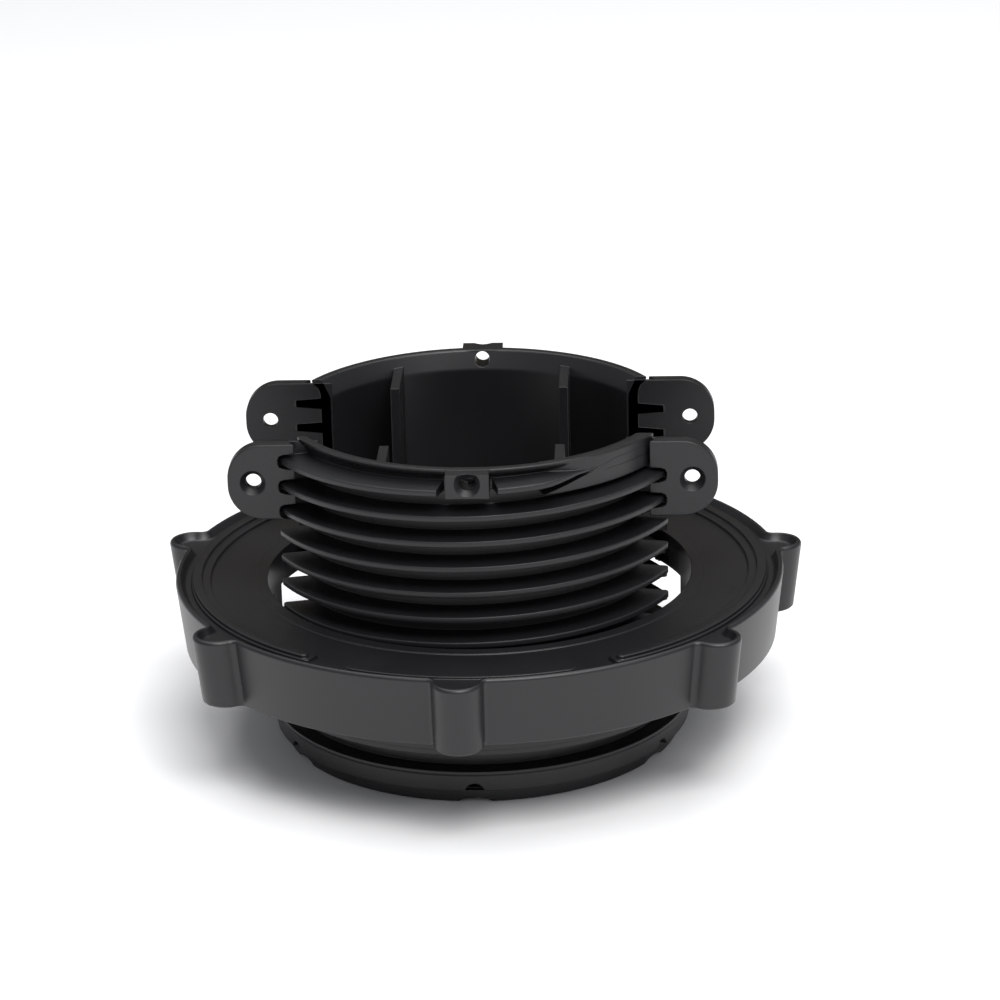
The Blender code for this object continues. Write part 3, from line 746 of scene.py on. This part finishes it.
# %% Posts, slot and seat
post_depth = math.sqrt(THREAD_ROOT_RADIUS ** 2 - POST_OFFSET ** 2) - CRADLE_WALL / 2
for front in (-1, 1):
    for x in (-POST_OFFSET, POST_OFFSET):
        near, far = sorted((front * (CHEEK_FACE - OVERLAP), front * post_depth))
        open_to_slot.append(box("post", (x - POST_THICKNESS / 2, near, CRADLE_BOTTOM + MM),
                                (x + POST_THICKNESS / 2, far, CRADLE_TOP - POST_DROP)))
slot_low = (-below, -CHEEK_FACE, CRADLE_BOTTOM - MM)
slot_high = (below, CHEEK_FACE, CRADLE_TOP + MM)
for item in open_to_slot:
    cut(item, box("slot", slot_low, slot_high))
seat_radius = THREAD_ROOT_RADIUS - CRADLE_WALL / 2
disc = [polar(seat_radius, 360.0 * (k + 0.5) / TURNED_STEPS) for k in range(TURNED_STEPS)]
seat = prism("seat", [(p.x, p.y) for p in disc], SEAT_HEIGHT - SEAT_THICKNESS, SEAT_HEIGHT)
span = box("span", (-SEAT_HALF_LENGTH, -below, 0.0), (SEAT_HALF_LENGTH, below, CRADLE_TOP))
combine(seat, span, "INTERSECT")
bodies = open_to_slot + [seat]
for x in (-POST_OFFSET, POST_OFFSET):
    half = CROSS_WALL_THICKNESS / 2
    bodies.append(box("cross_wall", (x - half, -post_depth, CRADLE_BOTTOM + OVERLAP),
                      (x + half, post_depth, SEAT_HEIGHT - OVERLAP)))
cradle = joined("joist_cradle_fine", bodies)
print("cradle faces", len(cradle.data.polygons))

# %% [markdown]
# ## Levelling ring
#
# The grips are part of one lobed outline, which is lofted down the drafted wall and over a rounded top
# edge. Gussets stand in each bay underneath, and two stepped ribs and two blank pads lie on the web.

# %% Ring sizes
RING_TOP = 44.8 * MM
RING_BOTTOM = 26.5 * MM
RING_RADIUS = 79.6 * MM
RING_WALL = 2.6 * MM
RING_DRAFT = 1.9 * MM
RING_EDGE = 1.0 * MM
RING_TURN_AT_REST = -1.7
WEB_TOP = RING_TOP - 2.0 * MM
WEB_UNDERSIDE = WEB_TOP - 3.0 * MM
FLANGE_TOP = 16.6 * MM
HUB_BOTTOM = FLANGE_TOP + 0.3 * MM
HUB_INNER_RADIUS = 55.6 * MM
HUB_OUTER_RADIUS = 58.8 * MM
HUB_BEAD_HEIGHT = 0.3 * MM
LOBE_COUNT = 7
LOBE_RADIUS = 6.3 * MM
LOBE_REACH = 6.9 * MM
LOBE_FILLET = 1.6 * MM
PILLAR_ANGLE = 7.0
PILLAR_TURN = 3.5
WINDOW_FLOOR = 1.6 * MM
WINDOW_TOP = 34.0 * MM
GUSSET_THICKNESS = 2.0 * MM
GUSSET_DEPTH = 8.0 * MM
RING_THREAD_BOTTOM = 29.6 * MM
RING_THREAD_TURNS = 1.45
RING_THREAD_HALF_GAP = 34.0 * MM
THREAD_REST_DROP = 2.1 * MM
RIB_INNER_RADIUS = 70.4 * MM
RIB_STEP_RADIUS = 72.6 * MM
RIB_OUTER_RADIUS = 75.6 * MM
RIB_STEP_HEIGHT = 1.0 * MM
RIB_HEIGHT = 1.9 * MM
RIB_CORNER_RADIUS = 1.2 * MM
RIB_HALF_GAP = 30.5
RIB_END_STEP = 0.8
PAD_INNER_RADIUS = 62.0 * MM
PAD_OUTER_RADIUS = 74.6 * MM
PAD_HEIGHT = 0.7 * MM
PAD_CORNER_RADIUS = 2.4 * MM
PAD_HALF_ANGLE = 23.0
print("ring", 2 * RING_RADIUS / MM, "mm wide with", LOBE_COUNT, "grips")

# %% Drafted wall


def lobed_outline(inset):
    hub = RING_RADIUS + LOBE_REACH - LOBE_RADIUS
    fillet = LOBE_FILLET
    turn = math.acos(((RING_RADIUS + fillet) ** 2 + hub ** 2 - (LOBE_RADIUS + fillet) ** 2)
                     / (2 * (RING_RADIUS + fillet) * hub))
    points = []
    period = 360.0 / LOBE_COUNT
    half = math.degrees(turn)
    for lobe in range(LOBE_COUNT):
        middle = -90.0 + period * lobe
        grip = polar(hub, middle)
        for sign in (-1, 1):
            corner = polar(RING_RADIUS + fillet, middle + sign * half)
            to_wall = math.degrees(math.atan2(-corner.y, -corner.x))
            to_grip = math.degrees(math.atan2(grip.y - corner.y, grip.x - corner.x))
            swing = (to_grip - to_wall + 180.0) % 360.0 - 180.0
            bend = [corner + polar(fillet + inset, to_wall + swing * t / 6) for t in range(7)]
            reach = math.degrees(math.atan2(corner.y - grip.y, corner.x - grip.x))
            away = (reach - middle + 180.0) % 360.0 - 180.0
            arc = [grip + polar(LOBE_RADIUS - inset, middle + away * (1 - t / 12)) for t in range(1, 12)]
            side = bend + arc
            if sign < 0:
                points += side + [grip + polar(LOBE_RADIUS - inset, middle)]
            else:
                points += side[::-1]
        flat = period - 2 * half
        points += [polar(RING_RADIUS - inset, middle + half + flat * k / 24) for k in range(1, 24)]
    return points


def skirt():
    section = [(0.4 * MM, RING_BOTTOM, RING_DRAFT), (0.0, RING_BOTTOM + 0.4 * MM, RING_DRAFT)]
    for k in range(7):
        turn = math.pi / 12 * k
        section.append((RING_EDGE * (1 - math.cos(turn)), RING_TOP - RING_EDGE * (1 - math.sin(turn)), 0.0))
    section += [
        (RING_EDGE + 0.3 * MM, RING_TOP - 0.1 * MM, 0.0),
        (RING_WALL - 0.5 * MM, WEB_TOP + 0.4 * MM, 0.0),
        (RING_WALL, WEB_TOP, 0.0),
        (RING_WALL, RING_BOTTOM, RING_DRAFT),
    ]
    rings = []
    for inset, z, draft in section:
        size = 1.0 - draft / RING_RADIUS
        rings.append([(p.x * size, p.y * size, z) for p in lobed_outline(inset)])
    return belt("skirt", rings)


print("outline points:", len(lobed_outline(0.0)))

# %% [markdown]
# ## Bars round a circle
#
# Gussets under the ring and ribs in the foot are the same thing: equal bars that stand round the axis
# and point outwards. A second tree puts one bar on each point of a circle, so a change of its count or
# its sizes redraws them all.

# %% Bar tree


def spokes_tree():
    """Equal bars that stand round a circle, each pointing outwards."""
    group, names, value = new_tree("spokes", (
        ("Count", "NodeSocketInt", 7), ("Circle Radius", "NodeSocketFloat", 0.05),
        ("Length", "NodeSocketFloat", 0.02), ("Thickness", "NodeSocketFloat", 0.002),
        ("Height", "NodeSocketFloat", 0.01), ("Middle Height", "NodeSocketFloat", 0.0),
        ("First Angle", "NodeSocketFloat", 0.0),
    ))
    row = group.nodes.new("GeometryNodeMeshLine")
    group.links.new(value("Count"), row.inputs["Count"])
    index = group.nodes.new("GeometryNodeInputIndex").outputs[0]
    step = math_node(group, "DIVIDE", 360.0, value("Count"))
    degrees = math_node(group, "ADD", value("First Angle"), math_node(group, "MULTIPLY", step, index))
    angle = math_node(group, "RADIANS", degrees)
    place = on_circle(group, value("Circle Radius"), angle, value("Middle Height"))
    spread = group.nodes.new("GeometryNodeSetPosition")
    group.links.new(row.outputs["Mesh"], spread.inputs["Geometry"])
    group.links.new(place, spread.inputs["Position"])
    size = point(group, value("Length"), value("Thickness"), value("Height"))
    bar = group.nodes.new("GeometryNodeMeshCube")
    group.links.new(size, bar.inputs["Size"])
    facing = group.nodes.new("FunctionNodeEulerToRotation")
    group.links.new(point(group, 0.0, 0.0, angle), facing.inputs["Euler"])
    copies = group.nodes.new("GeometryNodeInstanceOnPoints")
    group.links.new(spread.outputs["Geometry"], copies.inputs["Points"])
    group.links.new(bar.outputs["Mesh"], copies.inputs["Instance"])
    group.links.new(facing.outputs["Rotation"], copies.inputs["Rotation"])
    end_tree(group, copies.outputs["Instances"], value("Finish"))
    return group, names


SPOKES, SPOKES_NAMES = spokes_tree()


def spokes(name, count, first, inner, outer, thickness, low, high):
    return baked(name, SPOKES, SPOKES_NAMES, {
        "Count": count, "Circle Radius": (inner + outer) / 2, "Length": outer - inner,
        "Thickness": thickness, "Height": high - low, "Middle Height": (low + high) / 2,
        "First Angle": first, "Finish": BLACK})


print("bar inputs:", sorted(SPOKES_NAMES))

# %% [markdown]
# ## Hub, web and gussets
#
# The hub is turned and has a window in each bay, which exact cuts open. The web is a flat band between
# the hub and the lobed wall. It could be one round disc, but then it would not reach into the grips.

# %% Hub, web and gussets
period = 360.0 / LOBE_COUNT
hub = turned("hub", [
    (HUB_INNER_RADIUS, HUB_BOTTOM),
    (HUB_OUTER_RADIUS, HUB_BOTTOM),
    (HUB_OUTER_RADIUS, WEB_TOP + HUB_BEAD_HEIGHT),
    (HUB_INNER_RADIUS, WEB_TOP + HUB_BEAD_HEIGHT),
])
for k in range(LOBE_COUNT):
    middle = -90.0 + period * (k + 0.5) + PILLAR_TURN
    half = (period - PILLAR_ANGLE) / 2
    cut(hub, arc_block("window", HUB_INNER_RADIUS - 2 * MM, HUB_OUTER_RADIUS + 2 * MM,
                       middle - half, middle + half, HUB_BOTTOM + WINDOW_FLOOR, WINDOW_TOP, 16))
outer = lobed_outline(RING_WALL - OVERLAP)
bore = [p.normalized() * (HUB_INNER_RADIUS + HUB_OUTER_RADIUS) / 2 for p in outer]
web = belt("web", [[(p.x, p.y, z) for p in edge] for edge, z in (
    (outer, WEB_UNDERSIDE), (outer, WEB_TOP), (bore, WEB_TOP), (bore, WEB_UNDERSIDE))])
bodies = [hub, web, skirt()]
gusset_low = WEB_UNDERSIDE - GUSSET_DEPTH
for first, reach in ((-90.0, LOBE_REACH), (-90.0 + period / 2, 0.0)):
    bodies.append(spokes("gussets", LOBE_COUNT, first, HUB_OUTER_RADIUS - OVERLAP,
                         RING_RADIUS - RING_DRAFT + reach, GUSSET_THICKNESS, gusset_low, WEB_TOP - OVERLAP))
print("ring bodies", len(bodies))

# %% [markdown]
# ## Ribs, pads and the inner thread
#
# The ribs and blank pads are low blocks bent round the axis, with rounded corners and edges. The inner
# thread uses the same tree as the cradle's fin, a little lower so that it carries that fin. The whole
# ring is turned slightly to where it stands at rest, but its thread is not, as it fits the cradle's.

# %% Ribs, pads and the inner thread
sweep = 180.0 - 2 * RIB_HALF_GAP
low = WEB_TOP - OVERLAP
for middle in (0.0, 180.0):
    first = middle - sweep / 2
    last = middle + sweep / 2
    bodies.append(arc_block("rib_step", RIB_INNER_RADIUS, RIB_OUTER_RADIUS, first, last, low,
                            WEB_TOP + RIB_STEP_HEIGHT, 72, RIB_CORNER_RADIUS, 0.4 * MM))
    bodies.append(arc_block("rib_top", RIB_STEP_RADIUS, RIB_OUTER_RADIUS - OVERLAP, first + RIB_END_STEP,
                            last - RIB_END_STEP, low, WEB_TOP + RIB_HEIGHT, 72, RIB_CORNER_RADIUS,
                            0.45 * MM))
for middle in (-90.0, 90.0):
    bodies.append(arc_block("pad", PAD_INNER_RADIUS, PAD_OUTER_RADIUS, middle - PAD_HALF_ANGLE,
                            middle + PAD_HALF_ANGLE, low, WEB_TOP + PAD_HEIGHT, 36, PAD_CORNER_RADIUS,
                            0.35 * MM))
at_rest = Matrix.Rotation(math.radians(RING_TURN_AT_REST), 4, "Z")
for item in bodies:
    item.data.transform(at_rest)
start = angle_at_height(RING_THREAD_BOTTOM + THREAD_REST_DROP)
inner_fin = thread("inner_thread", start, start + 360.0 * RING_THREAD_TURNS,
                   (HUB_INNER_RADIUS + OVERLAP, THREAD_ROOT_WIDTH / 2),
                   (THREAD_ROOT_RADIUS + 0.6 * MM, THREAD_CREST_WIDTH / 2), lift=-THREAD_REST_DROP)
cut(inner_fin, box("side_gap", (-below, -RING_THREAD_HALF_GAP, 0.0), (below, RING_THREAD_HALF_GAP, RING_TOP)))
bodies.append(inner_fin)
ring = joined("levelling_ring_fine", bodies)
print("ring faces", len(ring.data.polygons))

# %% [markdown]
# ## Foot
#
# The foot is one turned shape: grooved lip, rim with a small bead, neck, flange and spigot. Its drains
# are cut from a circle of tools, so all six are alike.

# %% Foot sizes
FOOT_RADIUS = 54.8 * MM
FOOT_HEIGHT = 9.5 * MM
LIP_RADIUS = 52.2 * MM
LIP_HEIGHT = 3.2 * MM
GROOVE_HEIGHT = 0.7 * MM
FLOOR_THICKNESS = 2.6 * MM
NECK_RADIUS = 50.6 * MM
NECK_WALL = 2.6 * MM
FLANGE_RADIUS = 57.6 * MM
FLANGE_THICKNESS = 1.7 * MM
SPIGOT_RADIUS = 55.0 * MM
SPIGOT_WALL = 2.4 * MM
SPIGOT_TOP = 19.0 * MM
WEEP_COUNT = 6
WEEP_RADIUS = 2.5 * MM
SCALLOP_HALF_WIDTH = 4.4 * MM
SCALLOP_HEIGHT = 1.2 * MM
DRAIN_RADIUS = 5.0 * MM
DRAIN_CIRCLE_RADIUS = 30.5 * MM
FOOT_RIB_TOP = 8.6 * MM
FOOT_RIB_THICKNESS = 2.0 * MM
CENTRE_BOSS_RADIUS = 9.0 * MM
print("foot", 2 * FOOT_RADIUS / MM, "mm wide with", WEEP_COUNT, "drains")

# %% Foot
groove_top = LIP_HEIGHT + GROOVE_HEIGHT
neck_inner = NECK_RADIUS - NECK_WALL
bead = FOOT_RADIUS + 0.35 * MM
cup = turned("cup", rounded([
    (0.0, 0.0),
    (LIP_RADIUS, 0.0),
    (LIP_RADIUS, LIP_HEIGHT),
    (LIP_RADIUS - MM, LIP_HEIGHT),
    (LIP_RADIUS - MM, groove_top),
    (FOOT_RADIUS, groove_top),
    (FOOT_RADIUS, FOOT_HEIGHT - 1.3 * MM),
    (bead, FOOT_HEIGHT - 0.95 * MM),
    (bead, FOOT_HEIGHT),
    (NECK_RADIUS, FOOT_HEIGHT),
    (NECK_RADIUS, FLANGE_TOP - FLANGE_THICKNESS),
    (FLANGE_RADIUS, FLANGE_TOP - FLANGE_THICKNESS),
    (FLANGE_RADIUS, FLANGE_TOP),
    (SPIGOT_RADIUS, FLANGE_TOP),
    (SPIGOT_RADIUS, SPIGOT_TOP),
    (SPIGOT_RADIUS - SPIGOT_WALL, SPIGOT_TOP),
    (SPIGOT_RADIUS - SPIGOT_WALL, FLANGE_TOP),
    (neck_inner, FLANGE_TOP - FLANGE_THICKNESS - NECK_WALL),
    (neck_inner, FLOOR_THICKNESS),
    (0.0, FLOOR_THICKNESS),
], 0.35 * MM))
scallop_radius = (SCALLOP_HALF_WIDTH ** 2 + SCALLOP_HEIGHT ** 2) / (2 * SCALLOP_HEIGHT)
for k in range(WEEP_COUNT):
    degrees = -90.0 + 360.0 * k / WEEP_COUNT
    outwards = polar(1.0, degrees)
    across = polar(1.0, degrees + 90.0)
    floor = groove_top - GROOVE_HEIGHT / 2
    outline = [(WEEP_RADIUS * math.cos(math.pi * t / 20), WEEP_RADIUS * math.sin(math.pi * t / 20))
               for t in range(21)]
    rings = [[outwards * reach + across * x + Vector((0, 0, floor + z)) for x, z in outline]
             for reach in (neck_inner - 2 * MM, FOOT_RADIUS + 2 * MM)]
    cut(cup, lofted("weep", rings))
    cut(cup, rod("scallop", scallop_radius, scallop_radius,
                 polar(NECK_RADIUS - 2 * NECK_WALL, degrees, SCALLOP_HEIGHT - scallop_radius),
                 outwards, 4 * NECK_WALL, 96))
    cut(cup, rod("drain", DRAIN_RADIUS, DRAIN_RADIUS, polar(DRAIN_CIRCLE_RADIUS, degrees + 1.0, -MM),
                 (0, 0, 1), 5 * MM))
ribs = spokes("floor_ribs", WEEP_COUNT, -60.0, CENTRE_BOSS_RADIUS - 2 * MM, neck_inner + OVERLAP,
              FOOT_RIB_THICKNESS, FLOOR_THICKNESS - OVERLAP, FOOT_RIB_TOP)
centre = rod("centre_boss", CENTRE_BOSS_RADIUS, CENTRE_BOSS_RADIUS, (0, 0, FLOOR_THICKNESS - OVERLAP),
             (0, 0, 1), FOOT_RIB_TOP + MM - FLOOR_THICKNESS + OVERLAP, 96)
foot = joined("base_fine", [cup, ribs, centre])
print("foot faces", len(foot.data.polygons))

# %% [markdown]
# ## Finish the pieces
#
# Each fine piece stands for its CAD node, rides on that node's body and takes the plastic. Edges over
# a small angle stay sharp, and the shader bevel softens them.

# %% Pieces on their bodies
for item, node, body in ((foot, "base", "foot"), (ring, "levelling_ring", "ring"),
                         (cradle, "joist_cradle", "cradle")):
    item.data.materials.clear()
    item.data.materials.append(BLACK)
    for face in item.data.polygons:
        face.material_index = 0
    item.data.shade_smooth()
    item.data.set_sharp_from_angle(angle=math.radians(28.0))
    even = item.modifiers.new("Even", "WEIGHTED_NORMAL")
    even.keep_sharp = True
    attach(item, body)
    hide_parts(node)
    print(item.name, "on", body)

# %% [markdown]
# ## Floor and flag
#
# A plain pale floor and a white background keep attention on the moulding. A dark flag behind, which
# the camera doesn't see, keeps the flat web dark where it would mirror the bright surroundings.

# %% Floor and flag


def plain(name, colour, roughness):
    finish = bpy.data.materials.new(name)
    finish.use_nodes = True
    shader = finish.node_tree.nodes["Principled BSDF"]
    shader.inputs["Base Color"].default_value = (*colour, 1.0)
    shader.inputs["Roughness"].default_value = roughness
    return finish


def panel(name, centre, width, height, towards):
    bm = bmesh.new()
    corners = [(-0.5, -0.5), (0.5, -0.5), (0.5, 0.5), (-0.5, 0.5)]
    bm.faces.new([bm.verts.new((width * x, height * y, 0.0)) for x, y in corners])
    turn = (Vector(towards) - Vector(centre)).to_track_quat("Z", "Y").to_matrix().to_4x4()
    turn.translation = Vector(centre)
    bmesh.ops.transform(bm, matrix=turn, verts=bm.verts)
    mesh = bpy.data.meshes.new(name)
    bm.to_mesh(mesh)
    bm.free()
    item = bpy.data.objects.new(name, mesh)
    bpy.context.scene.collection.objects.link(item)
    return item


floor = panel("floor", (0.0, 0.0, -0.0003), 12.0, 12.0, (0.0, 0.0, 1.0))
floor.data.materials.append(plain("floor_white", (0.93, 0.93, 0.93), 0.9))
flag = panel("flag", (0.0, 0.30, 0.15), 0.50, 0.22, (0.0, 0.0, 0.06))
flag.data.materials.append(plain("flag_brown", (0.060, 0.050, 0.033), 0.9))
flag.visible_camera = False
flag.visible_shadow = False
flag.visible_diffuse = False
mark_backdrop(floor, flag)
print("stage:", floor.name, "and", flag.name)

# %% [markdown]
# ## Lights
#
# Two soft boxes in front and a large one above light the walls and the tops of the fins. The world adds
# a little even light, and shows as white to the camera by its Light Path and not by more light.

# %% Lights


def soft_box(name, place, target, width, height, power):
    data = bpy.data.lights.new(name, "AREA")
    data.shape = "RECTANGLE"
    data.size = width
    data.size_y = height
    data.energy = power
    item = bpy.data.objects.new(name, data)
    bpy.context.scene.collection.objects.link(item)
    item.location = place
    item.rotation_mode = "QUATERNION"
    item.rotation_quaternion = (Vector(target) - Vector(place)).to_track_quat("-Z", "Y")
    return item


soft_box("key", (0.20, -0.88, 1.40), (0.0, 0.0, 0.04), 0.8, 0.7, 14.0)
soft_box("fill", (0.70, -0.75, 1.20), (0.0, 0.0, 0.04), 0.8, 0.8, 6.0)
soft_box("top", (0.0, 0.25, 1.6), (0.0, 0.2, 0.0), 1.8, 1.8, 20.0)

world = bpy.data.worlds.new("studio")
bpy.context.scene.world = world
world.use_nodes = True
tree = world.node_tree
tree.nodes.clear()
path = tree.nodes.new("ShaderNodeLightPath")
seen = tree.nodes.new("ShaderNodeMath")
seen.operation = "MAXIMUM"
link(tree, path, "Is Camera Ray", seen, 0)
link(tree, path, "Is Transmission Ray", seen, 1)
mixed = tree.nodes.new("ShaderNodeMixShader")
soft = tree.nodes.new("ShaderNodeBackground")
soft.inputs["Color"].default_value = (0.95, 0.97, 1.0, 1.0)
soft.inputs["Strength"].default_value = 0.38
white = tree.nodes.new("ShaderNodeBackground")
white.inputs["Color"].default_value = (1.0, 1.0, 1.0, 1.0)
white.inputs["Strength"].default_value = 1.0
end = tree.nodes.new("ShaderNodeOutputWorld")
link(tree, seen, "Value", mixed, "Fac")
tree.links.new(soft.outputs[0], mixed.inputs[1])
tree.links.new(white.outputs[0], mixed.inputs[2])
tree.links.new(mixed.outputs[0], end.inputs["Surface"])
bpy.context.scene.view_settings.view_transform = "Standard"

# %% [markdown]
# ## Camera
#
# A long lens stands a little to the right and about twenty degrees above the object, turned and shifted
# slightly. These numbers come from a fit of the moulding's edges, so they are kept as they are.

# %% Camera
PITCH = math.radians(20.22)
YAW = math.radians(-2.56)
ROLL = math.radians(-1.42)
forward = Vector((math.sin(YAW) * math.cos(PITCH), math.cos(YAW) * math.cos(PITCH), -math.sin(PITCH)))
level = Vector((math.cos(YAW), -math.sin(YAW), 0.0))
rise = level.cross(forward)
right = level * math.cos(ROLL) + rise * math.sin(ROLL)
up = rise * math.cos(ROLL) - level * math.sin(ROLL)
data = bpy.data.cameras.new("camera")
data.sensor_width = 36.0
data.lens = 136.357
data.shift_x = 0.01004
data.shift_y = 0.02049
data.clip_end = 50.0
camera = bpy.data.objects.new("camera", data)
bpy.context.scene.collection.objects.link(camera)
facing = Matrix((right, up, -forward)).transposed().to_4x4()
facing.translation = Vector((44.58, -928.43, 398.99)) * MM
camera.matrix_world = facing
bpy.context.scene.camera = camera
print("camera at", [round(c, 3) for c in camera.location])

# %% [markdown]
# ## Finish
#
# The shown object is measured once more, and its size is printed as the frame's was at the top.

# %% Measure and print the size
low, high = write_size()
print("shown:", [round((b - a) / MM, 1) for a, b in zip(low, high)], "mm")
